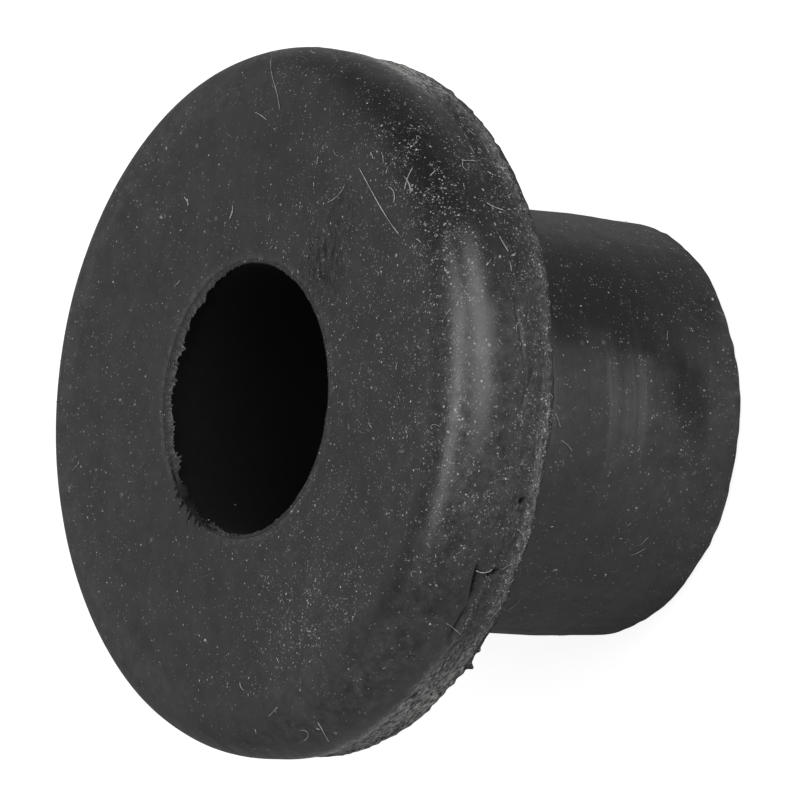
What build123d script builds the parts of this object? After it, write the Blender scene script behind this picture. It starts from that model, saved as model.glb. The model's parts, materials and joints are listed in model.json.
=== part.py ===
from build123d import *
import os

# Moulded rubber foot: a round flange with a flat face and a full, rounded front edge, on a plain stem,
# with a bore right through both. It is one solid of revolution about Z, in millimetres.
# The stem's end is at z = 0, and the flange's flat face is on top.

# Overall
overall_length = 13.2            # stem end to flange face

# Flange
flange_diameter = 20.0           # across the rim
flange_thickness = 3.3           # face to back edge
face_edge_radius = 1.5           # the rounded front edge of the rim
trim_band_width = 1.1            # back edge to the mould's parting line
trim_band_draft = 0.06           # how much the band draws in, on the radius, by its back edge
back_edge_chamfer = 0.12         # the trimmed back edge
groove_width = 0.18              # witness mark of the parting line, a fine V round the rim
groove_depth = 0.07

# Stem
stem_diameter = 12.15            # along its straight stretch
lead_in_length = 2.5             # the last, narrower stretch, which starts the stem in its hole
lead_in_taper = 0.15             # on the diameter, along the lead-in
stem_end_radius = 0.2            # outer edge of the stem's end

# Bore
bore_diameter = 7.5
face_lip_radius = 0.25           # mouth of the bore in the flange's face
end_lip_chamfer = 0.2            # mouth of the bore in the stem's end

# Heights, up from the stem's end
face_z = overall_length
shoulder_z = face_z - flange_thickness
parting_z = shoulder_z + trim_band_width

# Distances from the axis
rim_radius = flange_diameter / 2
back_radius = rim_radius - trim_band_draft
stem_radius = stem_diameter / 2
tip_radius = stem_radius - lead_in_taper / 2
bore_radius = bore_diameter / 2


def section(*points):
    """A closed half section, from points of (distance from the axis, height)."""
    return make_face(Polyline(*points, close=True))


def corner(half_section, distance, height):
    """The half section's corner nearest to that place."""
    return half_section.vertices().sort_by_distance((distance, height))[0]


def rounded(half_section, radius, distance, height):
    """The half section with that corner rounded."""
    return fillet(corner(half_section, distance, height), radius)


def bevelled(half_section, length, distance, height):
    """The half section with that corner cut off."""
    return chamfer(corner(half_section, distance, height), length)


def flange_section():
    """The flange: a straight rim, and behind its parting line a band with a little draft."""
    return section(
        (0, shoulder_z),
        (back_radius, shoulder_z),
        (rim_radius, parting_z),
        (rim_radius, face_z),
        (0, face_z),
    )


def groove_section():
    """The V of the witness mark. It runs on past the rim by its depth, so its mouth is twice as wide."""
    mouth_radius = rim_radius + groove_depth
    return section(
        (rim_radius - groove_depth, parting_z),
        (mouth_radius, parting_z + groove_width),
        (mouth_radius, parting_z - groove_width),
    )


def stem_section():
    """The stem: straight down from the flange, then the lead-in."""
    return section(
        (0, 0),
        (tip_radius, 0),
        (stem_radius, lead_in_length),
        (stem_radius, shoulder_z),
        (0, shoulder_z),
    )


def bore_section():
    """The bore, straight from end to end."""
    return section(
        (0, 0),
        (bore_radius, 0),
        (bore_radius, face_z),
        (0, face_z),
    )


def foot_section():
    """The whole half section, with the edges that the mould rounds or the trimming breaks."""
    foot = flange_section() - groove_section() + stem_section() - bore_section()
    rim_above_groove = face_z - parting_z - groove_width / 2
    foot = rounded(foot, min(face_edge_radius, 0.98 * rim_above_groove), rim_radius, face_z)
    foot = bevelled(foot, back_edge_chamfer, back_radius, shoulder_z)
    foot = rounded(foot, stem_end_radius, tip_radius, 0)
    foot = rounded(foot, face_lip_radius, bore_radius, face_z)
    foot = bevelled(foot, end_lip_chamfer, bore_radius, 0)
    return foot


def rubber_foot():
    """The foot, turned from its half section about Z."""
    return revolve(Plane.XZ * foot_section(), Axis.Z)


os.makedirs("parts", exist_ok=True)
export_step(rubber_foot(), "parts/rubber_foot.step")
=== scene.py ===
import json
import math
import bpy
import numpy as np
from mathutils import Matrix, Vector
from mathutils.bvhtree import BVHTree


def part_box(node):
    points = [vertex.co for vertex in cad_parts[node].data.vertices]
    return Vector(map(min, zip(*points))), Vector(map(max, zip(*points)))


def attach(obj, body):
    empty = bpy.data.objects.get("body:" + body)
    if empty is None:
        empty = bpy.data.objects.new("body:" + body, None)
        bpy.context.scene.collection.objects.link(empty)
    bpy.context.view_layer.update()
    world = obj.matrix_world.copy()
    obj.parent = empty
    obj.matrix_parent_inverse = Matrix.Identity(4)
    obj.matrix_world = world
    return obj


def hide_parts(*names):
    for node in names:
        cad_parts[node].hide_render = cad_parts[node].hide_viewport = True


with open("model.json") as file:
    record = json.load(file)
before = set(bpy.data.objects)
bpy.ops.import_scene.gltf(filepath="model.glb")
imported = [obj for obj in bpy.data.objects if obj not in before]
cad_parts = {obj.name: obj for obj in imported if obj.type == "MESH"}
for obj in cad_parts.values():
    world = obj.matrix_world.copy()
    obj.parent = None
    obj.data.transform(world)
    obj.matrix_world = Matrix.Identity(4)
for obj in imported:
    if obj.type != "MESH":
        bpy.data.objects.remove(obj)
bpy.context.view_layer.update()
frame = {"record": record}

mm = 0.001
fullTurn = 2 * math.pi
draws = np.random.default_rng(7)

# The foot's main sizes in millimetres, read from the frame
record = frame["record"]
mounts = {mount["name"]: mount for mount in record["mounts"]}
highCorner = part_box("rubber_foot")[1]
rimRadius = highCorner.x / mm
faceZ = highCorner.z / mm
shoulderZ = mounts["shoulder"]["pos_m"][2] / mm
stemRadius = mounts["stem"]["dims"]["r_mm"]
boreRadius = mounts["bore"]["dims"]["r_mm"]
print("frame loaded")


# Camera: the photograph's angle, turned on its side

cameraSetup = {
    "imageSize": 800,            # pixels, the photograph's frame
    "lens": 450.0,
    "sensor": 36.0,
    "aim": (0.37, 0.0, 7.69),    # millimetres, in the foot's frame
    "distance": 281.2,
    "elevation": 37.07,          # degrees above the floor
    "roll": -84.6,               # degrees about the line of sight
}


def cameraAxes():
    # right, up and forward: forward = (0, cos e, -sin e), and the other two turned about it by the roll
    elevation = math.radians(cameraSetup["elevation"])
    roll = math.radians(cameraSetup["roll"])
    forward = np.array([0.0, math.cos(elevation), -math.sin(elevation)])
    level = np.array([1.0, 0.0, 0.0])
    upright = np.cross(level, forward)
    right = math.cos(roll) * level + math.sin(roll) * upright
    up = math.cos(roll) * upright - math.sin(roll) * level
    return right, up, forward


def cameraPlace():
    # where the camera stands, in millimetres: aim - distance * forward
    forward = cameraAxes()[2]
    return np.array(cameraSetup["aim"]) - cameraSetup["distance"] * forward


def addObject(name, data):
    thing = bpy.data.objects.new(name, data)
    bpy.context.scene.collection.objects.link(thing)
    return thing


def makeCamera():
    right, up, forward = cameraAxes()
    data = bpy.data.cameras.new("camera")
    data.lens = cameraSetup["lens"]
    data.sensor_width = cameraSetup["sensor"]
    data.clip_start = 0.01
    camera = addObject("camera", data)
    place = cameraPlace() * mm
    columns = np.stack([right, up, -forward, place], axis=1)
    camera.matrix_world = Matrix([list(row) for row in columns] + [[0, 0, 0, 1]])
    bpy.context.scene.camera = camera


def pixelRay(x, y):
    # the line of sight through a pixel of the photograph
    right, up, forward = cameraAxes()
    half = cameraSetup["imageSize"] / 2
    spread = cameraSetup["sensor"] / cameraSetup["lens"] / cameraSetup["imageSize"]
    ray = forward + (x - half) * spread * right - (y - half) * spread * up
    return ray / np.linalg.norm(ray)


def pixelOnFace(x, y):
    # where the line of sight through a pixel meets the face's plane, in millimetres
    ray = pixelRay(x, y)
    eye = cameraPlace()
    return eye + ray * (faceZ - eye[2]) / ray[2]


# Shared shapes and noises

def cloudNoise(points, size, seed):
    # smooth noise from -1 to 1: random values on a lattice of that size, blended by t * t * (3 - 2 * t)
    lattice = np.random.default_rng(seed).uniform(-1, 1, (32, 32, 32))
    scaled = points / size
    cell = np.floor(scaled).astype(int)
    t = scaled - cell
    t = t * t * (3 - 2 * t)
    total = np.zeros(points.shape[:-1])
    for corner in range(8):
        step = np.array([corner & 1, corner >> 1 & 1, corner >> 2 & 1])
        index = (cell + step) % 32
        share = np.prod(np.where(step == 1, t, 1 - t), axis=-1)
        total += share * lattice[index[..., 0], index[..., 1], index[..., 2]]
    return total


def ringNoise(angle, low, high, seed):
    # a closed wave round the axis: the sum of cos(k * angle + phase) for k from low to high, about -1 to 1
    phases = np.random.default_rng(seed).uniform(0, fullTurn, high + 1)
    orders = np.arange(low, high + 1)
    waves = np.cos(angle[..., None] * orders + phases[orders])
    return waves.sum(axis=-1) / math.sqrt(len(orders)) / 1.4


def nearAngle(angle, degrees):
    # the difference of two angles, between minus and plus half a turn
    return (angle - math.radians(degrees) + math.pi) % fullTurn - math.pi


def smoothStep(value, low, high):
    t = np.clip((value - low) / (high - low), 0, 1)
    return t * t * (3 - 2 * t)


def ringFaces(rows, columns):
    # quads of a grid that closes both ways, turned so that rows x columns points outwards
    row, column = np.meshgrid(np.arange(rows), np.arange(columns), indexing="ij")
    nextRow = (row + 1) % rows
    nextColumn = (column + 1) % columns
    corners = [(row, column), (nextRow, column), (nextRow, nextColumn), (row, nextColumn)]
    return np.stack([r * columns + c for r, c in corners], axis=-1).reshape(-1, 4)


def turnOutwards(points, faces):
    # the volume is a sixth of the sum of a . (b x c) over the triangles; below nought, the faces look inwards
    flat = points.reshape(-1, 3)
    a, b, c = flat[faces[:, 0]], flat[faces[:, 1]], flat[faces[:, 2]]
    volume = np.einsum("ij,ij", a, np.cross(b, c))
    if faces.shape[1] == 4:
        volume += np.einsum("ij,ij", a, np.cross(c, flat[faces[:, 3]]))
    return faces if volume > 0 else faces[:, ::-1]


def makePiece(name, points, faces, material, smooth=True):
    # a closed mesh from arrays, points in millimetres; it rides on the foot's only body
    faces = turnOutwards(points, faces)
    mesh = bpy.data.meshes.new(name)
    mesh.from_pydata((points.reshape(-1, 3) * mm).tolist(), [], faces.tolist())
    mesh.polygons.foreach_set("use_smooth", np.full(len(mesh.polygons), smooth))
    mesh.update()
    piece = addObject(name, mesh)
    mesh.materials.append(material)
    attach(piece, "root")
    return piece


def addAttribute(piece, name, values):
    attribute = piece.data.attributes.new(name, "FLOAT", "POINT")
    attribute.data.foreach_set("value", np.ascontiguousarray(values, dtype=np.float32).ravel())


# Material helpers

def addNode(tree, kind, **settings):
    node = tree.nodes.new(kind)
    for key, value in settings.items():
        setattr(node, key, value)
    return node


def feed(tree, socket, value):
    # links a socket, or sets it to a fixed value
    if isinstance(value, bpy.types.NodeSocket):
        tree.links.new(value, socket)
    else:
        socket.default_value = value


def mathOf(tree, operation, first, second):
    node = addNode(tree, "ShaderNodeMath", operation=operation)
    feed(tree, node.inputs[0], first)
    feed(tree, node.inputs[1], second)
    return node.outputs[0]


def times(tree, *values):
    # the product of links and fixed values
    product = values[0]
    for value in values[1:]:
        product = mathOf(tree, "MULTIPLY", product, value)
    return product


def noiseOf(tree, vector, scale, detail=3.0, roughness=0.55):
    node = addNode(tree, "ShaderNodeTexNoise")
    for name, value in (("Vector", vector), ("Scale", scale), ("Detail", detail), ("Roughness", roughness)):
        feed(tree, node.inputs[name], value)
    return node.outputs["Fac"]


def rangeOf(tree, value, low, high, toLow=0.0, toHigh=1.0):
    node = addNode(tree, "ShaderNodeMapRange", interpolation_type="SMOOTHSTEP")
    feed(tree, node.inputs["Value"], value)
    for name, limit in (("From Min", low), ("From Max", high), ("To Min", toLow), ("To Max", toHigh)):
        node.inputs[name].default_value = limit
    return node.outputs["Result"]


def mixColour(tree, factor, first, second):
    node = addNode(tree, "ShaderNodeMix", data_type="RGBA")
    feed(tree, node.inputs["Factor"], factor)
    feed(tree, node.inputs["A"], first)
    feed(tree, node.inputs["B"], second)
    return node.outputs["Result"]


def bumpOf(tree, height, distance, strength, normal=None):
    node = addNode(tree, "ShaderNodeBump")
    feed(tree, node.inputs["Height"], height)
    feed(tree, node.inputs["Strength"], strength)
    node.inputs["Distance"].default_value = distance * mm
    if normal is not None:
        tree.links.new(normal, node.inputs["Normal"])
    return node.outputs["Normal"]


def attributeOf(tree, name):
    return addNode(tree, "ShaderNodeAttribute", attribute_name=name).outputs["Fac"]


def millimetres(tree, stretch=(1, 1, 1)):
    # object coordinates in millimetres, stretched along each axis
    place = addNode(tree, "ShaderNodeTexCoord").outputs["Object"]
    mapping = addNode(tree, "ShaderNodeMapping")
    feed(tree, mapping.inputs["Vector"], place)
    mapping.inputs["Scale"].default_value = [s / mm for s in stretch]
    return mapping.outputs["Vector"]


def newMaterial(name):
    material = bpy.data.materials.new(name)
    material.use_nodes = True
    tree = material.node_tree
    tree.nodes.clear()
    output = addNode(tree, "ShaderNodeOutputMaterial")
    return material, tree, output


# Rubber

rubberLook = {
    "dark": (0.0125, 0.0125, 0.0128, 1),
    "light": (0.023, 0.023, 0.0233, 1),
    "inside": (0.0019, 0.0019, 0.0020, 1),     # painted shade: near black for the bore's wall, the bottoms of cuts, scrapes and pits and the shaded zones, and for the bore's frayed lip
    "dust": (0.22, 0.22, 0.215, 1),
    "frost": (0.50, 0.50, 0.49, 1),
    "roughness": 0.36,
    "bandRoughness": 0.30,       # added where the rubber was trimmed
    "insideRoughness": 0.58,
    "polish": 0.13,              # taken off on the rounded edge, which shines
    "filmShare": 0.23,           # how much of the dust colour the film of dust and painted sheen shows
    # specks: cells a millimetre with one speck each at most, how many cells have one, and how wide it is
    "specks": [(21.0, 0.62, 0.50), (11.0, 0.42, 0.42), (5.5, 0.20, 0.28)],
    "softSpots": (2.4, 0.40, 0.25),
    "grit": 0.26,
    "shadeShare": 0.88,          # how far the painted shade darkens the colour towards black
    "softSpotShare": 0.65,
    "pits": 0.55,                # painted shade in pits where the rubber was trimmed
    "bandShare": 0.20,           # painted highlight: pale rings round the stem
    "stemEvenness": 0.6,         # how much of the stem's film is even, and how thick that is
    "evenFilm": 0.45,
    "driftRange": (0.12, 1.9),   # dust between drifts and in them
    "sheenRange": (-0.05, 0.07),
    "specular": (0.5, 0.25),     # of the rubber, and inside the bore
    "streaks": (1, 1, 2.8),      # how the noise is stretched along X, Y and Z
    "bands": (0.05, 0.05, 1.25),
    "rings": (0.07, 0.07, 1.8),
    "gouges": (1.0, 2.6, 1.0),
    "gougeDepth": 0.05,          # millimetres
}

# Noises in the colour and sheen: scale a millimetre, detail, roughness, and the range that counts
rubberNoises = {
    "mottle": (0.8, 6.0, 0.55, 0.30, 0.72),
    "film": (2.6, 8.0, 0.72, 0.22, 0.92),
    "drifts": (1.9, 6.0, 0.72, 0.42, 0.66),
    "grit": (13.0, 3.0, 0.80, 0.58, 0.74),
    "frost": (4.5, 8.0, 0.78, 0.40, 0.68),
    "bands": (1.0, 2.5, 0.60, 0.50, 0.62),
    "gouges": (3.6, 5.0, 0.65, 0.52, 0.60),
    "pits": (8.0, 4.0, 0.70, 0.55, 0.64),
    "sheen": (2.4, 4.0, 0.55, 0.30, 0.70),
}

# Relief: the noise's scale a millimetre, detail and roughness, and its height in millimetres
rubberRelief = {
    "grain": (16.0, 4.0, 0.60, 0.010),
    "waves": (1.3, 3.0, 0.55, 0.030),
    "tears": (4.5, 7.0, 0.70, 0.10),
    "rings": (1.0, 4.0, 0.62, 0.075),
}


def speckLayer(tree, place, scale, density, size):
    # one speck in some of the cells of a Voronoi pattern, each with its own brightness
    cells = addNode(tree, "ShaderNodeTexVoronoi", feature="F1")
    feed(tree, cells.inputs["Vector"], place)
    cells.inputs["Scale"].default_value = scale
    parts = addNode(tree, "ShaderNodeSeparateColor")
    feed(tree, parts.inputs["Color"], cells.outputs["Color"])
    inSpeck = rangeOf(tree, cells.outputs["Distance"], size, size * 0.15)
    limit = mathOf(tree, "SUBTRACT", 1.0, density)
    chosen = mathOf(tree, "GREATER_THAN", parts.outputs["Red"], limit)
    brightness = mathOf(tree, "POWER", parts.outputs["Green"], 3.0)
    return mathOf(tree, "MULTIPLY", mathOf(tree, "MULTIPLY", inSpeck, chosen), brightness)


def patternOf(tree, vector, name, toLow=0.0, toHigh=1.0):
    scale, detail, roughness, low, high = rubberNoises[name]
    return rangeOf(tree, noiseOf(tree, vector, scale, detail, roughness), low, high, toLow, toHigh)


def rubberColour(tree, has, place, gouges, filmHere):
    # mottled black with painted shade, a film of fine dust and painted sheen in patches, specks of three
    # sizes, grit, frost with a painted highlight, rings with a painted highlight, and painted shade in the
    # dark marks
    look = rubberLook
    colour = mixColour(tree, patternOf(tree, place, "mottle"), look["dark"], look["light"])
    # painted shade: the colour goes towards near black where the shade attribute is high
    colour = mixColour(tree, times(tree, has["shade"], look["shadeShare"]), colour, look["inside"])
    colour = mixColour(tree, filmHere, colour, look["dust"])
    density = times(tree, has["dust"], patternOf(tree, place, "drifts", *look["driftRange"]))
    for scale, share, size in look["specks"]:
        specks = speckLayer(tree, place, scale, times(tree, density, share), size)
        colour = mixColour(tree, specks, colour, look["frost"])
    gritHere = times(tree, patternOf(tree, place, "grit"), density, look["grit"])
    colour = mixColour(tree, gritHere, colour, look["frost"])
    scale, share, size = look["softSpots"]
    spots = speckLayer(tree, place, scale, times(tree, has["soft"], share), size)
    colour = mixColour(tree, times(tree, spots, look["softSpotShare"]), colour, look["dust"])
    frostNoise = patternOf(tree, millimetres(tree, look["streaks"]), "frost")
    colour = mixColour(tree, times(tree, frostNoise, has["frost"]), colour, look["frost"])
    # painted highlight: the pale rings show only where the glancing highlight falls on the stem
    bands = patternOf(tree, millimetres(tree, look["bands"]), "bands")
    colour = mixColour(tree, times(tree, has["ringed"], bands, look["bandShare"]), colour, look["dust"])
    # painted shade: scrapes, pits, the bore and the bottoms of cuts are mixed towards near black
    pitsHere = times(tree, patternOf(tree, place, "pits"), has["trimmed"], look["pits"])
    for mask in (times(tree, gouges, has["scuffed"]), pitsHere, has["inside"]):
        colour = mixColour(tree, mask, colour, look["inside"])
    return colour


def rubberRoughness(tree, has, place, filmHere):
    # uneven, duller where the rubber was trimmed or is dusty, and shinier on the polished edge
    look = rubberLook
    roughness = mathOf(tree, "ADD", patternOf(tree, place, "sheen", *look["sheenRange"]), look["roughness"])
    fromBand = times(tree, has["trimmed"], look["bandRoughness"])
    fromInside = times(tree, has["inside"], look["insideRoughness"])
    for more in (fromBand, fromInside, filmHere):
        roughness = mathOf(tree, "ADD", roughness, more)
    return mathOf(tree, "SUBTRACT", roughness, times(tree, has["polish"], look["polish"]))


def rubberNormal(tree, has, place, gouges):
    # a fine moulded grain, shallow waves, trimming marks, rings round the stem and the scrapes
    look = rubberLook
    normal = None
    for name, vector, strength in (("grain", place, 0.60), ("waves", place, 0.22),
                                   ("tears", millimetres(tree, look["streaks"]), has["trimmed"]),
                                   ("rings", millimetres(tree, look["rings"]), has["ringed"])):
        scale, detail, roughness, height = rubberRelief[name]
        normal = bumpOf(tree, noiseOf(tree, vector, scale, detail, roughness), height, strength, normal)
    return bumpOf(tree, gouges, -look["gougeDepth"], has["scuffed"], normal)


def rubberMaterial():
    material, tree, output = newMaterial("black_rubber")
    look = rubberLook
    place = millimetres(tree)
    names = ["dust", "film", "frost", "trimmed", "stem", "ringed", "inside", "soft", "scuffed", "shade",
             "polish"]
    has = {name: attributeOf(tree, name) for name in names}
    gouges = patternOf(tree, millimetres(tree, look["gouges"]), "gouges")
    even = times(tree, has["stem"], look["stemEvenness"])
    patchy = times(tree, patternOf(tree, place, "film"), mathOf(tree, "SUBTRACT", 1.0, even))
    filmNoise = mathOf(tree, "ADD", patchy, times(tree, even, look["evenFilm"]))
    filmHere = times(tree, filmNoise, has["film"], look["filmShare"])

    shader = addNode(tree, "ShaderNodeBsdfPrincipled")
    feed(tree, shader.inputs["Base Color"], rubberColour(tree, has, place, gouges, filmHere))
    feed(tree, shader.inputs["Roughness"], rubberRoughness(tree, has, place, filmHere))
    feed(tree, shader.inputs["Normal"], rubberNormal(tree, has, place, gouges))
    shader.inputs["IOR"].default_value = 1.5
    specular = rangeOf(tree, has["inside"], 0.0, 1.0, *look["specular"])
    feed(tree, shader.inputs["Specular IOR Level"], specular)
    tree.links.new(shader.outputs["BSDF"], output.inputs["Surface"])
    return material


rubber = rubberMaterial()
print("rubber ready")


# The foot: one closed surface, a half section carried round the axis

footShape = {
    "around": 680,               # steps round the axis
    "skin": 0.035,               # the surface lies this far inside the solid, which leaves room for dust
    "faceEdge": 1.5,
    "partingDepth": 2.2,         # from the face to the parting line
    "grooveWidth": 0.07,
    "grooveDepth": 0.05,
    "bandDraft": 0.06,
    "backEdge": 0.10,
    "leadIn": 2.5,
    "leadInDraft": 0.09,
    "endEdge": 0.16,
    "lip": 0.12,
    "endLip": 0.2,
    "stemShift": (-0.01, 0.12),  # the stem leans: its shift towards +X at the flange, and what its end adds
    "boreShift": 0.15,           # the bore sits this far towards the near side
    "endSkew": 0.20,             # the stem's end isn't cut quite square
    "endSkewAngle": -29.0,       # the side where the stem is longest
    "facetDepth": 0.03,          # flats worn on the stem's end edge
    "settle": -0.012,            # pushes along the normal: everywhere, on the trimmed band, at the back edge
    "bandPush": -0.03,
    "backPush": -0.015,
}

# Cuts in the rim: angle round the axis, distance behind the face, half length along the rim, slant against
# the rim, half width and depth. Millimetres and degrees.
rimMarks = [
    (-75.0, 2.10, 0.75, -8.0, 0.06, 0.07),
    (-84.0, 2.36, 0.75, 20.0, 0.06, 0.06),
    (-102.0, 2.69, 0.11, 60.0, 0.08, 0.13),
    (-116.0, 1.88, 0.60, -12.0, 0.065, 0.13),
    (-124.0, 1.96, 0.60, 3.0, 0.06, 0.09),
    (-114.5, 2.38, 0.26, 62.0, 0.08, 0.14),
    (-141.5, 2.22, 0.32, 12.0, 0.07, 0.13),
]


# Stretches round the axis of wear, painted shade and painted highlights: the middle in degrees, the half
# width in radians, and a power, which is higher where the ends are more sudden. -90 degrees is the near side,
# and 0 is the top in the photograph.
stretchesRound = {
    "bandLow": (-158, 0.50, 2),
    "bandHigh": (-8, 0.30, 2),
    "bandMiddle": (-54, 0.26, 2),
    "lipTear": (147, 0.34, 4),
    "lipLeft": (97, 1.15, 4),    # the left of the bore's mouth in the photograph
    "shadeRim": (-43, 0.40, 4),
    "shadeStem": (-50, 0.32, 4),
    "shadeEnd": (-78, 0.26, 4),
    "gritRidge": (-112, 0.50, 4),
    "gritSeam": (-121, 0.15, 4),
    "gritHigh": (-43, 0.42, 4),
    "cleanRim": (-72, 0.36, 4),
    "stemFilm": (-80, 0.26, 2),
    "stemRings": (-80, 0.24, 2),
    "polished": (-80, 0.80, 4),
    "frostTop": (-6, 0.33, 4),
    "frostCorner": (0, 0.18, 2),
    "frostHigh": (-38, 0.24, 4),
    "frostLow": (-157, 0.42, 4),
    "frostRidge": (-90, 0.80, 4),
}

# Unevenness of the surface: height and size of each noise in millimetres, and its seed
footNoises = {
    "waves": (0.012, 2.1, 11),
    "lumps": (0.028, 0.42, 12),
    "crumbs": (0.018, 0.17, 13),
    "lip": (0.035, 0.30, 15),
    "tear": (0.12, 0.20, 16),
    "endEdge": (0.02, 0.3, 17),
    "shadeEdge": (0.10, 0.9, 51),
    "shadeGrain": (0.06, 0.35, 52),
}

# Unevenness round the axis: height in millimetres, fewest and most waves to the turn, and its seed
footRings = {
    "parting": (0.12, 2, 9, 3),
    "backWaves": (0.045, 3, 30, 5),
    "backTears": (0.03, 40, 150, 6),
    "backRagged": (0.02, 40, 180, 8),
    "facets": (0.5, 3, 14, 9),
}

# Stretches round the axis for the pale film of dust, painted reflection and painted highlight: degrees from
# the near side where it starts, is full, starts to fade and is gone
sideStretches = {"settled": (-130, -100, 14, 42), "upper": (50, 68, 105, 135), "edge": (56, 84, 105, 135)}

# How strong the wear, the dust, the painted shade and the painted highlights are. Bulges of the trimmed band
# are in millimetres, and the rest are shares.
wearAndPaintedLight = {
    "bandLow": -0.10, "bandHigh": -0.06, "bandMiddle": 0.06,
    "shadeRim": 0.85, "shadeEnd": 0.82,
    "gritHigh": 0.5, "gritRidge": 1.7, "gritSeam": 1.8, "cleanRim": 0.6,
    "frostTop": 2.1, "frostCorner": 0.7, "frostHigh": 0.5, "frostLow": 1.60,
    "filmCorner": 0.50, "filmStem": 1.0, "filmUpper": 1.1, "filmEdge": 1.9, "filmGlance": 0.20,
    "filmLowStem": 1.9, "filmLow": 1.0, "filmEnd": 1.2, "filmFar": 0.35, "filmFarCorner": 1.1,
    "shadeOverFilm": 0.92, "frayed": 0.9,
}

# Pale frost on the rim, with a painted highlight of grazing light at its top: its stretch, and between which
# distances behind the face it comes in
frostRows = [("frostTop", 1.6, 2.3), ("frostCorner", 0.9, 1.6), ("frostHigh", 2.5, 3.1),
             ("frostLow", 1.7, 2.3)]


def inStretch(angle, name, shift=0):
    # 1 in the middle of a stretch and 0 outside it: exp(-((difference + shift) / half)^power)
    middle, half, power = stretchesRound[name]
    return np.exp(-((nearAngle(angle, middle) + shift) / half) ** power)


def uneven(points, name):
    height, size, seed = footNoises[name]
    return height * cloudNoise(points, size, seed)


def unevenRound(angle, name):
    height, fewest, most, seed = footRings[name]
    return height * ringNoise(angle, fewest, most, seed)


def straight(start, end, steps):
    # points from start towards end, without end: start + (end - start) * t
    t = np.arange(steps)[:, None] / steps
    return np.array(start) + (np.array(end) - np.array(start)) * t


def arc(centre, radius, fromDegrees, toDegrees, steps):
    # points on a circle: centre + radius * (cos a, sin a), without the last
    angle = np.radians(fromDegrees + (toDegrees - fromDegrees) * np.arange(steps) / steps)
    return np.array(centre) + radius * np.stack([np.cos(angle), np.sin(angle)], axis=1)


def footSection():
    # the half section as points (distance from the axis, height), once round, with a zone name for each
    shape = footShape
    skin = shape["skin"]
    top = faceZ - skin
    rim = rimRadius - skin
    back = rim - shape["bandDraft"]
    bevel = shape["backEdge"]
    stem = stemRadius - skin
    tip = stem - shape["leadInDraft"]
    lip = shape["lip"]
    edge = shape["faceEdge"]
    endEdge = shape["endEdge"]
    endLip = shape["endLip"]
    stretches = [
        ("face", straight((boreRadius + lip, top), (boreRadius + 0.5, top), 5)),
        ("face", straight((boreRadius + 0.5, top), (rim - edge, top), 10)),
        ("corner", arc((rim - edge, top - edge), edge, 90, 0, 18)),
        ("rim", straight((rim, top - edge), (back, shoulderZ + bevel), 34)),
        ("back", arc((back - bevel, shoulderZ + bevel), bevel, 0, -90, 6)),
        ("shoulder", straight((back - bevel, shoulderZ), (stem, shoulderZ), 7)),
        ("stem", straight((stem, shoulderZ), (stem, shape["leadIn"]), 15)),
        ("leadIn", straight((stem, shape["leadIn"]), (tip, endEdge), 7)),
        ("endEdge", arc((tip - endEdge, endEdge), endEdge, 0, -90, 7)),
        ("end", straight((tip - endEdge, 0), (boreRadius + endLip, 0), 4)),
        ("endLip", arc((boreRadius + endLip, endLip), endLip, 270, 180, 3)),
        ("bore", straight((boreRadius, endLip), (boreRadius, top - 1.0), 6)),
        ("bore", straight((boreRadius, top - 1.0), (boreRadius, top - lip), 8)),
        ("lip", arc((boreRadius + lip, top - lip), lip, 180, 90, 8)),
    ]
    points = np.concatenate([stretch for name, stretch in stretches])
    zones = np.concatenate([[name] * len(stretch) for name, stretch in stretches])
    return points, zones


def sectionNormals(section):
    # outward normals in the half section: the tangent (r, z) turned to (-z, r)
    tangent = np.roll(section, -1, axis=0) - np.roll(section, 1, axis=0)
    tangent /= np.linalg.norm(tangent, axis=1)[:, None]
    return np.stack([-tangent[:, 1], tangent[:, 0]], axis=1)


def bandBulge(angle):
    # where the trimmed band stands out or falls back, in millimetres
    return sum(wearAndPaintedLight[name] * inStretch(angle, name) for name in ("bandLow", "bandHigh", "bandMiddle"))


def backEdgeWave(angle):
    # the back edge, up and down
    return unevenRound(angle, "backWaves") + unevenRound(angle, "backTears")


def rimCuts(angle, behind):
    # depth of the cuts: the sum of depth * exp(-(u / half)^4 - (v / width)^2), u along a cut and v across it
    total = np.zeros(angle.shape)
    for middle, place, half, slant, width, depth in rimMarks:
        along = nearAngle(angle, middle) * rimRadius
        across = behind - place
        slant = math.radians(slant)
        u = along * math.cos(slant) + across * math.sin(slant)
        v = across * math.cos(slant) - along * math.sin(slant)
        total += depth * np.exp(-(u / half) ** 4 - (v / width) ** 2)
    return total


# Rough patches on the face: the pixel of the middle, radius in millimetres and strength
roughPatches = [
    ((322, 262), 0.95, 1.1), ((186, 492), 0.34, 0.85), ((204, 514), 0.42, 0.95), ((228, 530), 0.30, 0.70),
    ((345, 205), 0.70, 0.60), ((350, 560), 0.80, 0.25), ((250, 600), 0.90, 0.18),
]


def scuffs(points):
    # the sum over the patches of strength * exp(-(r / radius)^2)
    total = np.zeros(points.shape[:-1])
    for pixel, radius, strength in roughPatches:
        apart = np.linalg.norm(points - pixelOnFace(*pixel), axis=-1)
        total += strength * np.exp(-(apart / radius) ** 2)
    return total


def carry(distance, height, angle):
    # (distance * cos a, distance * sin a, height)
    return np.stack([distance * np.cos(angle), distance * np.sin(angle), height], axis=-1)


def boreShare(distance):
    # 1 at the bore, 0 from a millimetre and a half outside it
    return smoothStep(distance, boreRadius + 1.5, boreRadius)


def stemLean(distance, height):
    # shift = first + second * depth / length, below the flange, and fading out along the shoulder
    first, second = footShape["stemShift"]
    depth = np.clip((shoulderZ - height) / shoulderZ, 0, 1)
    onStem = smoothStep(distance, stemRadius + 1.5, stemRadius)
    belowFlange = smoothStep(height, shoulderZ + 2.0, shoulderZ + 0.02)
    return (first + second * depth) * onStem * belowFlange


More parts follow.
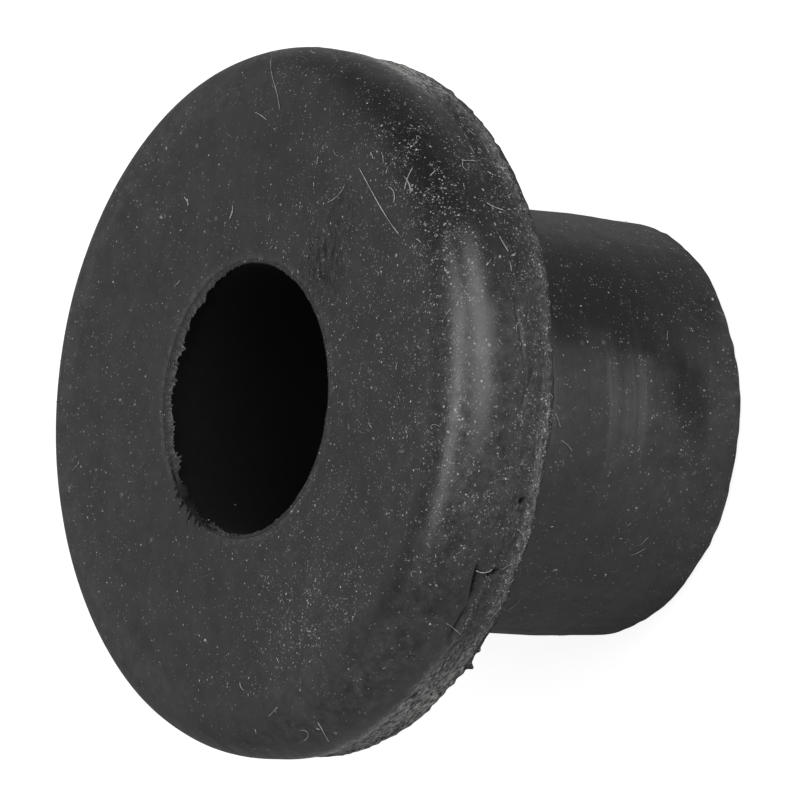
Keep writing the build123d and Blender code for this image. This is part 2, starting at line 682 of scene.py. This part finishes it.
def footPoints():
    # the section carried round the axis and pushed in or out by noises, cuts and the torn edges
    shape = footShape
    section, zones = footSection()
    normals = sectionNormals(section)
    angle = np.arange(shape["around"]) / shape["around"] * fullTurn
    zone = zones[:, None]
    height = np.repeat(section[:, 1:2], shape["around"], axis=1)
    distance = np.repeat(section[:, 0:1], shape["around"], axis=1)
    turned = np.broadcast_to(angle, height.shape)
    place = carry(distance, height, turned)
    behind = faceZ - height

    # slow waves everywhere, and small lumps where the rim was trimmed
    onRim = np.isin(zone, ["rim", "back"])
    parting = shape["partingDepth"] + unevenRound(angle, "parting")
    inBand = smoothStep(behind, parting, parting + 0.15) * onRim
    push = shape["settle"] + uneven(place, "waves")
    push = push + inBand * (uneven(place, "lumps") + uneven(place, "crumbs") + shape["bandPush"])

    # parting line: a fine groove that comes and goes
    openness = 0.35 + 0.65 * smoothStep(ringNoise(angle, 5, 40, 4), -0.2, 0.8)
    groove = shape["grooveDepth"] * openness * np.exp(-((behind - parting) / shape["grooveWidth"]) ** 2)
    push = push - onRim * (groove + rimCuts(turned, behind))

    # back edge: uneven and torn
    nearBack = np.exp(-((height - shoulderZ) / 0.28) ** 2) * np.isin(zone, ["rim", "back", "shoulder"])
    outerPart = smoothStep(distance, rimRadius - 0.6, rimRadius - 0.1)
    height = height + nearBack * outerPart * backEdgeWave(angle)
    push = push + nearBack * outerPart * (unevenRound(angle, "backRagged") + shape["backPush"])
    push = push + inBand * bandBulge(angle) * smoothStep(behind, 1.9, 2.9)

    # mouth of the bore: ragged, with a chipped stretch
    chips = uneven(place, "lip") + inStretch(turned, "lipTear") * uneven(place, "tear")
    push = push + (zone == "lip") * chips

    # stem's end: not quite square, with a worn, slightly faceted edge
    nearEnd = 1 - smoothStep(height, 0.2, shape["leadIn"])
    nearEnd = nearEnd * np.isin(zone, ["stem", "leadIn", "endEdge", "end", "endLip"])
    skew = shape["endSkew"] / 2 * (1 - np.cos(nearAngle(turned, shape["endSkewAngle"])))
    facets = shape["facetDepth"] * np.clip(0.5 + unevenRound(angle, "facets"), 0, 1)
    height = height + nearEnd * (skew + facets)
    onEdge = np.isin(zone, ["leadIn", "endEdge"]) * nearEnd
    push = push - onEdge * (facets + uneven(place, "endEdge"))

    # the pushes take effect along the normals; then the bore is set off centre, and the stem leans
    distance = distance + push * normals[:, 0:1]
    height = height + push * normals[:, 1:2]
    points = carry(distance, np.clip(height, 0, faceZ), turned)
    points[..., 1] -= shape["boreShift"] * boreShare(distance)
    points[..., 0] += stemLean(distance, height)
    return points, zones, inBand


dustAmount = {                   # how dusty each stretch of the section is, from 0 to 1
    "face": 0.80, "corner": 0.85, "rim": 0.75, "back": 1.0, "shoulder": 0.4, "stem": 0.34, "leadIn": 0.34,
    "endEdge": 0.6, "end": 0.3, "endLip": 0.3, "bore": 0.04, "lip": 0.9,
}


def dustiness(points, zones):
    # the amount for each stretch * patches, less on the far side, more low on the near side
    base = np.array([dustAmount[name] for name in zones])[:, None]
    patches = 0.75 + 0.45 * cloudNoise(points, 3.0, 21)
    nearSide = smoothStep(-points[..., 1], -3.0, 7.0)
    lowSide = smoothStep(-points[..., 0], 0.0, 6.0)
    onRim = np.isin(zones, ["rim", "corner"])[:, None]
    spread = np.where(onRim, 1 - 0.62 * lowSide, 1 + 0.4 * lowSide * nearSide)
    return np.clip(base * patches * (0.35 + 0.65 * nearSide) * spread, 0, 1)


def zoneMasks(zone):
    # which points are on each part of the foot
    groups = {"rim": ["rim", "back"], "corner": ["corner", "rim"], "round": ["corner"],
              "stem": ["stem", "leadIn"], "edge": ["leadIn", "endEdge"], "face": ["face", "corner"],
              "lip": ["face", "lip"], "bore": ["lip", "bore"],
              "side": ["stem", "leadIn", "corner", "rim", "endEdge", "back"]}
    return {name: np.isin(zone, members) for name, members in groups.items()}


def paintedShadeAmount(points, angle, behind, on):
    # painted shade: a darker, blacker colour high on the near side of the rim and stem, and a patch near the
    # stem's end, where no lamp reflects
    onRim = on["corner"] * smoothStep(behind, 0.0, 0.5) * smoothStep(behind, 2.9, 2.3)
    shift = uneven(points, "shadeEdge") + uneven(points, "shadeGrain")
    high = wearAndPaintedLight["shadeRim"] * (inStretch(angle, "shadeRim", shift) * onRim)
    stemHigh = inStretch(angle, "shadeStem", shift) * on["stem"] * smoothStep(behind, 12.3, 9.3)
    nearEnd = smoothStep(behind + 2 * shift, 9.8, 10.5) * smoothStep(behind + 2 * shift, 12.1, 11.4)
    patch = wearAndPaintedLight["shadeEnd"] * nearEnd * inStretch(angle, "shadeEnd", shift) * on["stem"]
    return np.clip(high + stemHigh + patch, 0, 1)


def gritAmount(dust, angle, behind, on):
    # the dust attribute: grit on the back edge and the parting line, most of it low on the near side
    ridge = smoothStep(behind, 2.75, 3.0) * (0.30 + 0.70 * inStretch(angle, "gritRidge"))
    seam = np.exp(-((behind - 2.25) / 0.14) ** 2) * inStretch(angle, "gritSeam")
    high = inStretch(angle, "gritHigh") * on["corner"]
    clean = inStretch(angle, "cleanRim") * on["corner"]
    clean = clean * smoothStep(behind, 0.6, 0.9) * smoothStep(behind, 2.0, 1.7)
    grit = on["rim"] * (wearAndPaintedLight["gritRidge"] * ridge + wearAndPaintedLight["gritSeam"] * seam)
    return dust * (1 + wearAndPaintedLight["gritHigh"] * high) * (1 - wearAndPaintedLight["cleanRim"] * clean) + grit


def sideShare(angle, name):
    # 1 on one of the stretches round the axis, with a soft rise before and a soft fall after
    start, full, fade, end = sideStretches[name]
    around = np.degrees(nearAngle(angle, -90))
    return smoothStep(around, start, full) * (1 - smoothStep(around, fade, end))


def farShare(points, on):
    # 1 on the far side of the face and its corner, and 0 on the near side
    return (1 - smoothStep(-points[..., 1], -4.5, 1.5)) * on["face"]


def dustAndSheenAmount(points, dust, angle, on):
    # a pale film, partly fine dust and partly painted light: thick on the near and low sides of rim and stem
    # and thin high up, painting their reflections and the dark above; a painted highlight along the stem's
    # top edge and in a glancing band across it; painted sheen on the far side of the face
    settled = sideShare(angle, "settled")
    upper = wearAndPaintedLight["filmUpper"] * sideShare(angle, "upper")
    edge = wearAndPaintedLight["filmEdge"] * sideShare(angle, "edge")
    glance = wearAndPaintedLight["filmGlance"] * (inStretch(angle, "stemFilm") * smoothStep(points[..., 2], 2.4, 3.6))
    low = smoothStep(-points[..., 0], 3.0, 9.0) * smoothStep(-points[..., 1], -1.0, 4.0) * on["side"]
    nearEnd = smoothStep(points[..., 2], 0.7, 0.1) * on["edge"]
    far = farShare(points, on)
    film = dust * np.where(on["side"], 0.10 + 0.90 * settled, 0.6)
    film = film + wearAndPaintedLight["filmCorner"] * settled * on["corner"] * smoothStep(faceZ - points[..., 2], 0.12, 0.50)
    film = film + (wearAndPaintedLight["filmStem"] * settled + upper + edge + glance) * on["stem"]
    film = film + low * np.where(on["stem"], wearAndPaintedLight["filmLowStem"], wearAndPaintedLight["filmLow"]) + wearAndPaintedLight["filmEnd"] * nearEnd
    return film + wearAndPaintedLight["filmFar"] * far + wearAndPaintedLight["filmFarCorner"] * far * on["round"]


def frostAmount(angle, behind, fromBore, on):
    # pale, roughened rubber: the rim's low side, the back edge and the bore's lip, and on the rim's top pale
    # frost with a painted highlight of grazing light
    frost = sum(wearAndPaintedLight[name] * inStretch(angle, name) * smoothStep(behind, start, full) * on["rim"]
                for name, start, full in frostRows)
    lowNear = 0.45 + 0.55 * smoothStep(nearAngle(angle, -86), 0.10, -0.20)
    ridge = 0.10 * smoothStep(behind, 2.1, 2.6) + 0.36 * smoothStep(behind, 2.75, 3.1)
    frost = frost + lowNear * ridge * inStretch(angle, "frostRidge") * on["rim"]
    lip = (0.09 + 0.03 * inStretch(angle, "lipLeft")) * (1 - inStretch(angle, "lipTear"))
    return frost + lip * smoothStep(fromBore, 0.30, 0.10) * on["lip"]


def blackAndShadeAmount(angle, behind, fromBore, on):
    # painted shade: near black inside the bore and at the bottoms of the cuts; the frayed stretch of the
    # bore's lip is black partly as torn rubber and partly as painted shade
    boreShade = smoothStep(behind, 0.07, 0.16) * on["bore"]
    cuts = np.clip(rimCuts(angle, behind) / 0.11, 0, 1) ** 2 * on["rim"]
    strands = 0.30 * inStretch(angle, "lipTear") * (0.5 + 0.7 * ringNoise(angle, 30, 170, 61))
    frayed = smoothStep(strands - fromBore, 0.02, 0.10) * on["lip"]
    return np.maximum(np.maximum(boreShade, cuts), wearAndPaintedLight["frayed"] * frayed)


def makeFoot():
    points, zones, inBand = footPoints()
    zone = zones[:, None]
    on = zoneMasks(zone)
    angle = np.arctan2(points[..., 1], points[..., 0])
    behind = faceZ - points[..., 2]
    fromBore = np.hypot(points[..., 0], points[..., 1] + footShape["boreShift"])
    fromBore = fromBore - boreRadius - footShape["lip"]
    foot = makePiece("rubberFoot", points, ringFaces(len(zones), footShape["around"]), rubber)
    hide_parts("rubber_foot")
    onStem = on["stem"] * np.ones(angle.shape)
    dust = dustiness(points, zones)
    shade = paintedShadeAmount(points, angle, behind, on)
    # the rings are kept to the stretch of the stem's painted glancing highlight
    rings = inStretch(angle, "stemRings") * smoothStep(points[..., 2], 2.8, 3.7)
    polish = inStretch(angle, "polished") * smoothStep(behind, 2.1, 1.7)
    values = {
        "dust": np.clip(gritAmount(dust + 0.3 * inBand, angle, behind, on), 0, 2.4),
        # the film thins where shade is painted, so that the painted shade stays dark
        "film": np.clip(dustAndSheenAmount(points, dust, angle, on) * (1 - wearAndPaintedLight["shadeOverFilm"] * shade), 0, 3.2),
        "frost": frostAmount(angle, behind, fromBore, on),
        "shade": shade,
        "trimmed": np.clip(inBand + 0.7 * np.isin(zone, ["back", "lip"]), 0, 1),
        "stem": onStem,
        "ringed": onStem * (0.08 + 0.92 * rings),
        "polish": polish * on["corner"],
        "soft": np.maximum(farShare(points, on), 0.9 * onStem),
        "scuffed": np.isin(zone, ["face", "corner", "lip"]) * scuffs(points),
        # painted shade inside the bore and cuts, and the black of the frayed lip
        "inside": blackAndShadeAmount(angle, behind, fromBore, on),
    }
    for name, value in values.items():
        addAttribute(foot, name, value)
    return foot, points, zones


foot, footGrid, footZones = makeFoot()
footTree = BVHTree.FromObject(foot, bpy.context.evaluated_depsgraph_get())
print("foot made")


# Torn flash left on the back edge and in the mouth of the bore

flashSetup = {
    "steps": 2600,
    "backReach": 0.055,          # the most that the flash stands out, in millimetres
    "lipReach": 0.035,
    "lipLeftReach": 0.45,        # more, where the mouth of the bore is torn, and most low on that side
    "lipTear": 0.20,
    "thickness": 0.05,
    "lipThickness": 0.03,
}

# Bits that still hang on the back edge: angle, reach and half width, in degrees and millimetres
hangingBits = [(-133.0, 0.17, 0.6), (-129.5, 0.06, 0.5), (-121.0, 0.05, 0.4), (-61.0, 0.05, 0.4),
               (-40.0, 0.04, 0.5)]


def tornFringe(thickness, distance, height, outward, reach, seed):
    # a ragged strip round a circle: its free edge stands out by reach * max(0, noise) at each angle
    count = flashSetup["steps"]
    angles = np.arange(count) / count * fullTurn
    stand = 0.55 * ringNoise(angles, 5, 60, seed) + 0.35 * ringNoise(angles, 60, 190, seed + 1)
    least, most = reach(angles)
    stand = least + np.clip(stand + 0.1, 0, 1) * (most - least) + 0.006
    root = np.full(count, -0.09)
    # the strip's own section: root below, root above, tip above, tip below
    out = np.stack([root, root, stand, stand])
    across = np.array([-0.5, 0.5, 0.2, -0.2])[:, None] * thickness
    curl = 0.25 * np.clip(out, 0, 1) * ringNoise(angles, 6, 50, seed + 2)
    r = distance(angles) + out * outward[0] - (across + curl) * outward[1]
    z = height(angles) + out * outward[1] + (across + curl) * outward[0]
    turned = np.broadcast_to(angles, r.shape)
    return carry(r, z, turned), ringFaces(4, count), turned


def backReach(angles):
    # uneven round the rim, and longer at the hanging bits
    most = flashSetup["backReach"] * (0.35 + 0.65 * smoothStep(ringNoise(angles, 2, 12, 33), -0.2, 0.7))
    least = 0 * angles
    for angle, reach, half in hangingBits:
        least = least + reach * np.exp(-(nearAngle(angles, angle) / math.radians(half)) ** 2)
    return least, least + most


def lipReach(angles):
    # a broad torn lip on the far side of the bore, widest near the tear
    setup = flashSetup
    left = inStretch(angles, "lipLeft")
    tear = inStretch(angles, "lipTear")
    least = 0.62 * setup["lipLeftReach"] * left
    most = setup["lipReach"] + 0.30 * setup["lipLeftReach"] * left + setup["lipTear"] * tear
    return least * (1 - 0.7 * tear), least * (1 - 0.7 * tear) + most


def makeFlash():
    shape = footShape
    setup = flashSetup
    rim = rimRadius - shape["skin"] - shape["bandDraft"] - 0.05
    points, faces, angles = tornFringe(
        setup["thickness"],
        lambda a: rim + bandBulge(a),
        lambda a: shoulderZ + backEdgeWave(a) + 0.03,
        (0.5, -0.86), backReach, 31)
    flash = makePiece("backFlash", points, faces, rubber)
    for attribute, value in (("dust", 0.9), ("film", 0.6), ("trimmed", 0.9)):
        addAttribute(flash, attribute, np.full(angles.size, value))
    # painted highlight: grazing light on the top of the back flash
    addAttribute(flash, "frost", 0.9 * inStretch(angles, "frostTop"))

    points, faces, angles = tornFringe(
        setup["lipThickness"],
        lambda a: boreRadius + 0.06 + 0 * a,
        lambda a: faceZ - shape["skin"] - 0.020 + 0.003 * ringNoise(a, 4, 30, 44),
        (-0.998, -0.06), lipReach, 41)
    points[..., 1] -= shape["boreShift"]
    flash = makePiece("boreFlash", points, faces, rubber)
    tip = np.array([0, 0, 1, 1])[:, None]
    for attribute, value in (("dust", 0.6), ("film", 0.5), ("trimmed", 0.35)):
        addAttribute(flash, attribute, np.full(angles.size, value))
    tear = inStretch(angles, "lipTear")
    addAttribute(flash, "frost", (0.02 + 0.14 * tip) * inStretch(angles, "lipLeft") * (1 - tear))
    addAttribute(flash, "inside", tear * (0.55 + 0.4 * tip))


makeFlash()
print("flash made")


# Dust: small flattened lumps, thickest where the foot's dust attribute is high

dustSetup = {
    "grains": 7500,
    "size": (0.007, 0.036),      # half widths, millimetres
    "flatness": 0.45,
    "stretch": (0.6, 1.5),
    "gather": 1.6,               # how strongly grains keep to the dusty places
    "clumpGrains": 9,
    "clumpSize": (0.014, 0.030),
    "clumpSpread": 0.011,        # millimetres for each pixel of a clump's size
    "colour": (0.42, 0.42, 0.41, 1),
    "unevenness": 0.18,
}


def powderMaterial(name, colour, spread):
    # a dull pale powder or thread, uneven from place to place
    material, tree, output = newMaterial(name)
    place = millimetres(tree)
    shade = rangeOf(tree, noiseOf(tree, place, 3.0, 2.0), 0.3, 0.7)
    darker = [channel * spread for channel in colour[:3]] + [1]
    shader = addNode(tree, "ShaderNodeBsdfPrincipled")
    feed(tree, shader.inputs["Base Color"], mixColour(tree, shade, darker, colour))
    feed(tree, shader.inputs["Normal"], bumpOf(tree, noiseOf(tree, place, 30.0), 0.01, 0.6))
    shader.inputs["Roughness"].default_value = 0.85
    tree.links.new(shader.outputs["BSDF"], output.inputs["Surface"])
    return material


# Clumps seen in the photograph: pixel and size in pixels
seenClumps = [
    (166, 148, 2.6), (187, 200, 2.2), (161, 217, 3.2), (232, 212, 2.4), (113, 282, 2.6), (150, 589, 3.0),
    (516, 570, 3.0), (502, 612, 1.8), (713, 299, 1.8), (556, 570, 3.2), (318, 729, 2.4), (335, 733, 2.4),
    (420, 97, 1.8), (324, 232, 2.2), (490, 345, 2.2), (500, 257, 2.4), (396, 255, 2.4), (342, 404, 2.2),
    (430, 624, 2.4), (275, 711, 2.6), (300, 690, 1.8), (203, 716, 1.8), (236, 505, 2.0), (428, 545, 2.0),
    (120, 400, 2.2), (96, 470, 2.2), (205, 640, 2.2), (256, 172, 2.0), (290, 150, 2.0), (402, 452, 2.0),
]


def sightHits(pixels):
    # where the lines of sight through some pixels meet the foot: a place and a normal for each
    eye = Vector(cameraPlace() * mm)
    return [footTree.ray_cast(eye, Vector(pixelRay(x, y))) for x, y in pixels]


def clumpSpots():
    # some grains to a clump, about its pixel's place on the foot
    grains = dustSetup["clumpGrains"]
    hits = zip(sightHits([clump[:2] for clump in seenClumps]), [clump[2] for clump in seenClumps])
    hits = [(hit, size) for hit, size in hits if hit[0] is not None]
    centres = np.repeat([np.array(hit[0]) / mm for hit, size in hits], grains, axis=0)
    normals = np.repeat([np.array(hit[1]) for hit, size in hits], grains, axis=0)
    spread = np.repeat([size * dustSetup["clumpSpread"] for hit, size in hits], grains)[:, None]
    first, second = tangents(normals)
    spots = centres + spread * (draws.normal(0, 0.6, (len(centres), 1)) * first
                                + draws.normal(0, 0.6, (len(centres), 1)) * second)
    return spots, normals


def lumpShape():
    # an octahedron: six corners and eight faces, outwards
    corners = np.array([[1, 0, 0], [0, 1, 0], [-1, 0, 0], [0, -1, 0], [0, 0, 1], [0, 0, -1]], dtype=float)
    faces = np.array([[0, 1, 4], [1, 2, 4], [2, 3, 4], [3, 0, 4], [1, 0, 5], [2, 1, 5], [3, 2, 5], [0, 3, 5]])
    return corners, faces


def surfaceSpots(count, weights):
    # random spots on the foot: a face drawn by area * weight, then a random place in it, with its normal
    rows, columns = footGrid.shape[:2]
    quads = footGrid.reshape(-1, 3)[ringFaces(rows, columns)]
    across = quads[:, 1] - quads[:, 0]
    along = quads[:, 3] - quads[:, 0]
    normals = np.cross(across, along)
    areas = np.linalg.norm(normals, axis=1)
    chance = areas * weights
    picked = draws.choice(len(areas), count, p=chance / chance.sum())
    u, v = draws.random((2, count, 1))
    spots = quads[picked, 0] + u * across[picked] + v * along[picked]
    return spots, normals[picked] / areas[picked, None]


def tangents(normals):
    # two unit vectors along the surface, turned at random
    helper = np.where(np.abs(normals[:, 2:]) > 0.8, [[1.0, 0, 0]], [[0, 0, 1.0]])
    first = np.cross(normals, helper)
    first /= np.linalg.norm(first, axis=1)[:, None]
    second = np.cross(normals, first)
    turn = draws.uniform(0, fullTurn, (len(normals), 1))
    return first * np.cos(turn) + second * np.sin(turn), second * np.cos(turn) - first * np.sin(turn)


def grainWeights():
    # the dust attribute of each face, with nothing in the bore or under the stem
    dust = np.empty(len(foot.data.vertices), dtype=np.float32)
    foot.data.attributes["dust"].data.foreach_get("value", dust)
    weights = dust[ringFaces(len(footZones), footShape["around"])[:, 0]]
    hidden = np.isin(footZones, ["end", "endLip", "bore"])
    return (weights * ~np.repeat(hidden, footShape["around"])) ** dustSetup["gather"]


def makeDust():
    setup = dustSetup
    spots, normals = surfaceSpots(setup["grains"], grainWeights())
    clumps, clumpNormals = clumpSpots()
    small, large = setup["size"]
    size = small + (large - small) * draws.random((len(spots), 1)) ** 4
    size = np.concatenate([size, draws.uniform(*setup["clumpSize"], (len(clumps), 1))])
    spots = np.concatenate([spots, clumps])
    normals = np.concatenate([normals, clumpNormals])
    first, second = tangents(normals)
    corners, faces = lumpShape()
    stretch = size * draws.uniform(*setup["stretch"], (len(spots), 1))
    lumps = (spots[:, None]
             + corners[None, :, 0:1] * (stretch * first)[:, None]
             + corners[None, :, 1:2] * (size * second)[:, None]
             + corners[None, :, 2:3] * (size * setup["flatness"] * normals)[:, None])
    lumps[..., 2] = np.minimum(lumps[..., 2], faceZ)   # nothing stands above the face
    allFaces = faces[None] + len(corners) * np.arange(len(spots))[:, None, None]
    powder = powderMaterial("dust_powder", setup["colour"], setup["unevenness"])
    makePiece("dustGrains", lumps, allFaces.reshape(-1, 3), powder, smooth=False)


makeDust()
print("dust made")


# Lint: thin bent threads, some where the photograph shows them and some scattered

lintSetup = {
    "thickness": (0.006, 0.012),     # half thicknesses, millimetres
    "seenShare": 1.35,               # the seen threads are this much thicker
    "colour": (0.46, 0.46, 0.45, 1),
    "unevenness": 0.45,
    "scattered": 120,
    "length": (0.08, 0.48),          # of the scattered threads
    "bend": 1.3,
    "twist": 6.0,
    "seenLift": 0.02,                # how far the middle of a thread lies off the rubber
    "scatteredLift": 0.018,
    "seenSteps": 18,
    "scatteredSteps": 8,
}

# Threads seen in the photograph, each by a few of its pixels
seenThreads = [
    [(359, 167), (372, 190), (384, 216), (400, 235)], [(345, 185), (341, 196), (334, 199), (328, 203)],
    [(389, 187), (395, 189), (396, 196), (394, 203)], [(272, 57), (268, 75), (279, 88), (280, 110)],
    [(255, 112), (260, 114), (264, 117), (267, 120)], [(446, 623), (452, 626), (457, 631), (461, 635)],
    [(560, 440), (565, 442), (569, 447), (572, 451)], [(555, 413), (557, 417), (558, 422), (560, 427)],
    [(640, 545), (643, 542), (645, 539), (648, 537)], [(630, 555), (635, 554), (640, 551), (645, 548)],
    [(300, 730), (309, 728), (312, 736), (303, 741)], [(269, 716), (272, 714), (275, 710), (278, 707)],
    [(461, 160), (466, 163), (471, 159), (475, 162)], [(486, 203), (492, 207), (497, 209), (503, 210)],
    [(404, 176), (409, 182), (412, 188), (410, 194)], [(413, 168), (409, 174), (406, 182), (405, 190)],
    [(499, 236), (502, 243), (505, 247), (508, 252)], [(488, 262), (484, 268), (487, 266), (491, 259)],
    [(484, 630), (486, 636), (491, 634), (492, 628)], [(413, 577), (409, 573), (413, 569), (417, 572)],
    [(233, 205), (234, 211), (232, 215), (230, 219)], [(185, 197), (187, 201), (190, 203), (188, 206)],
    [(318, 722), (322, 728), (325, 735), (329, 741)], [(508, 610), (512, 606), (518, 603), (520, 598)],
    [(476, 570), (481, 574), (487, 573), (492, 569)],
]


def threadPoints(paths, half):
    # tubes: four points round each path point, at path + half * (+-side, +-rise), narrowed at the ends
    along = np.gradient(paths, axis=1)
    along /= np.linalg.norm(along, axis=2)[..., None]
    side = np.cross(along, [0.31, 0.52, 0.79])
    side /= np.linalg.norm(side, axis=2)[..., None]
    rise = np.cross(side, along)
    taper = np.ones(paths.shape[1])
    taper[[0, -1]] = 0.35
    wide = half[:, None, None] * taper[None, :, None]
    ring = [wide * side, wide * rise, -wide * side, -wide * rise]
    return paths[:, :, None] + np.stack(ring, axis=2)


def threadFaces(count, steps):
    # quads along each tube, and one quad over each end
    first = np.arange(steps - 1)[:, None] * 4 + np.arange(4)
    following = np.arange(steps - 1)[:, None] * 4 + (np.arange(4) + 1) % 4
    sides = np.stack([first, following, following + 4, first + 4], axis=-1).reshape(-1, 4)
    ends = np.array([[3, 2, 1, 0], [0, 1, 2, 3]]) + np.array([[0], [4 * (steps - 1)]])
    faces = np.concatenate([sides, ends])
    return (faces[None] + np.arange(count)[:, None, None] * steps * 4).reshape(-1, 4)


def seenPaths(steps):
    # each thread is the Bezier curve with its four pixels as controls, laid on the foot along the sight line
    t = np.linspace(0, 1, steps)[:, None]
    blend = np.concatenate([(1 - t) ** 3, 3 * t * (1 - t) ** 2, 3 * t ** 2 * (1 - t), t ** 3], axis=1)
    lift = lintSetup["seenLift"]
    paths = []
    for pixels in seenThreads:
        spots = sightHits(blend @ np.array(pixels, dtype=float))
        if all(spot[0] is not None for spot in spots):
            paths.append([np.array(spot[0]) / mm + lift * np.array(spot[1]) for spot in spots])
    return np.array(paths)


def scatteredPaths(steps):
    # a bent line, spot + s * first + (bend * s^2 + twist * s^3) * second, then laid back on the surface
    setup = lintSetup
    spots, normals = surfaceSpots(setup["scattered"], grainWeights())
    first, second = tangents(normals)
    length = draws.uniform(*setup["length"], (len(spots), 1, 1)) ** 1.3
    s = np.linspace(-0.5, 0.5, steps)[None, :, None] * length
    bend = draws.normal(0, setup["bend"], (len(spots), 1, 1))
    twist = draws.normal(0, setup["twist"], (len(spots), 1, 1))
    paths = spots[:, None] + s * first[:, None] + (bend * s ** 2 + twist * s ** 3) * second[:, None]
    nearest = [footTree.find_nearest(Vector(point * mm)) for point in paths.reshape(-1, 3)]
    laid = [np.array(spot[0]) / mm + setup["scatteredLift"] * np.array(spot[1]) for spot in nearest]
    return np.array(laid).reshape(paths.shape)


def makeLint():
    setup = lintSetup
    lint = powderMaterial("lint_thread", setup["colour"], setup["unevenness"])
    seen = seenPaths(setup["seenSteps"])
    scattered = scatteredPaths(setup["scatteredSteps"])
    for name, paths, share in (("seenLint", seen, setup["seenShare"]), ("scatteredLint", scattered, 1.0)):
        half = draws.uniform(*setup["thickness"], len(paths)) * share
        makePiece(name, threadPoints(paths, half), threadFaces(len(paths), paths.shape[1]), lint)


makeLint()
print("lint made")


# Floor and light

stageSetup = {
    "floorHalf": 1.5,            # metres
    "floorColour": (0.44, 0.44, 0.44, 1),
    "floorLift": 0.86,           # added for the camera, so that the floor shows white
    "worldLight": 0.22,
}

# Soft panels: where they stand, as angles from the axis towards the camera's side and towards +X,
# with distance, width and length in metres, brightness in watts, and a turn in the panel's own plane
lamps = {
    "leftPanel": {"lean": 24.2, "side": 7.5, "turn": 17.0,
                  "distance": 0.40, "width": 0.10, "length": 0.43, "power": 0.78},
    "rightPanel": {"lean": 81.0, "side": 25.0, "turn": 0.0,
                   "distance": 0.40, "width": 0.34, "length": 0.38, "power": 1.50},
    "farPanel": {"lean": -53.0, "side": 0.0, "turn": 0.0,
                 "distance": 0.45, "width": 0.34, "length": 0.80, "power": 0.25},
}


def makeFloor():
    half = stageSetup["floorHalf"]
    material, tree, output = newMaterial("floor_white")
    diffuse = addNode(tree, "ShaderNodeBsdfDiffuse")
    diffuse.inputs["Color"].default_value = stageSetup["floorColour"]
    glow = addNode(tree, "ShaderNodeEmission")
    seen = addNode(tree, "ShaderNodeLightPath").outputs["Is Camera Ray"]
    feed(tree, glow.inputs["Strength"], mathOf(tree, "MULTIPLY", seen, stageSetup["floorLift"]))
    both = addNode(tree, "ShaderNodeAddShader")
    tree.links.new(diffuse.outputs["BSDF"], both.inputs[0])
    tree.links.new(glow.outputs["Emission"], both.inputs[1])
    tree.links.new(both.outputs["Shader"], output.inputs["Surface"])
    mesh = bpy.data.meshes.new("floor")
    corners = [(-half, -half, 0), (half, -half, 0), (half, half, 0), (-half, half, 0)]
    mesh.from_pydata(corners, [], [(0, 1, 2, 3)])
    mesh.materials.append(material)
    addObject("floor", mesh)


def makeLamp(name, setup):
    # an area lamp aimed at the flange, at (sin side, -sin lean * cos side, cos lean * cos side)
    lean = math.radians(setup["lean"])
    side = math.radians(setup["side"])
    way = Vector((math.sin(side), -math.sin(lean) * math.cos(side), math.cos(lean) * math.cos(side)))
    target = Vector((0, 0, faceZ * mm))
    data = bpy.data.lights.new(name, "AREA")
    data.shape = "RECTANGLE"
    data.size = setup["length"]
    data.size_y = setup["width"]
    data.energy = setup["power"]
    lamp = addObject(name, data)
    back = way.normalized()
    across = (Vector((1, 0, 0)) - back * back.x).normalized()
    rise = back.cross(across)
    turn = math.radians(setup["turn"])
    turnedAcross = across * math.cos(turn) - rise * math.sin(turn)
    rise = rise * math.cos(turn) + across * math.sin(turn)
    across = turnedAcross
    place = target + back * setup["distance"]
    lamp.matrix_world = Matrix([[across[i], rise[i], back[i], place[i]] for i in range(3)] + [[0, 0, 0, 1]])


def makeWorld():
    # a plain grey surround that the camera sees as white
    world = bpy.data.worlds.new("studio")
    bpy.context.scene.world = world
    world.use_nodes = True
    tree = world.node_tree
    tree.nodes.clear()
    output = addNode(tree, "ShaderNodeOutputWorld")
    ground = addNode(tree, "ShaderNodeBackground")
    seen = addNode(tree, "ShaderNodeLightPath").outputs["Is Camera Ray"]
    feed(tree, ground.inputs["Strength"], rangeOf(tree, seen, 0.0, 1.0, stageSetup["worldLight"], 1.0))
    tree.links.new(ground.outputs["Background"], output.inputs["Surface"])
    ground.inputs["Color"].default_value = (1, 1, 1, 1)


makeFloor()
for lampName, lampSetup in lamps.items():
    makeLamp(lampName, lampSetup)
makeWorld()
makeCamera()
bpy.context.scene.view_settings.view_transform = "Standard"
print("stage ready")
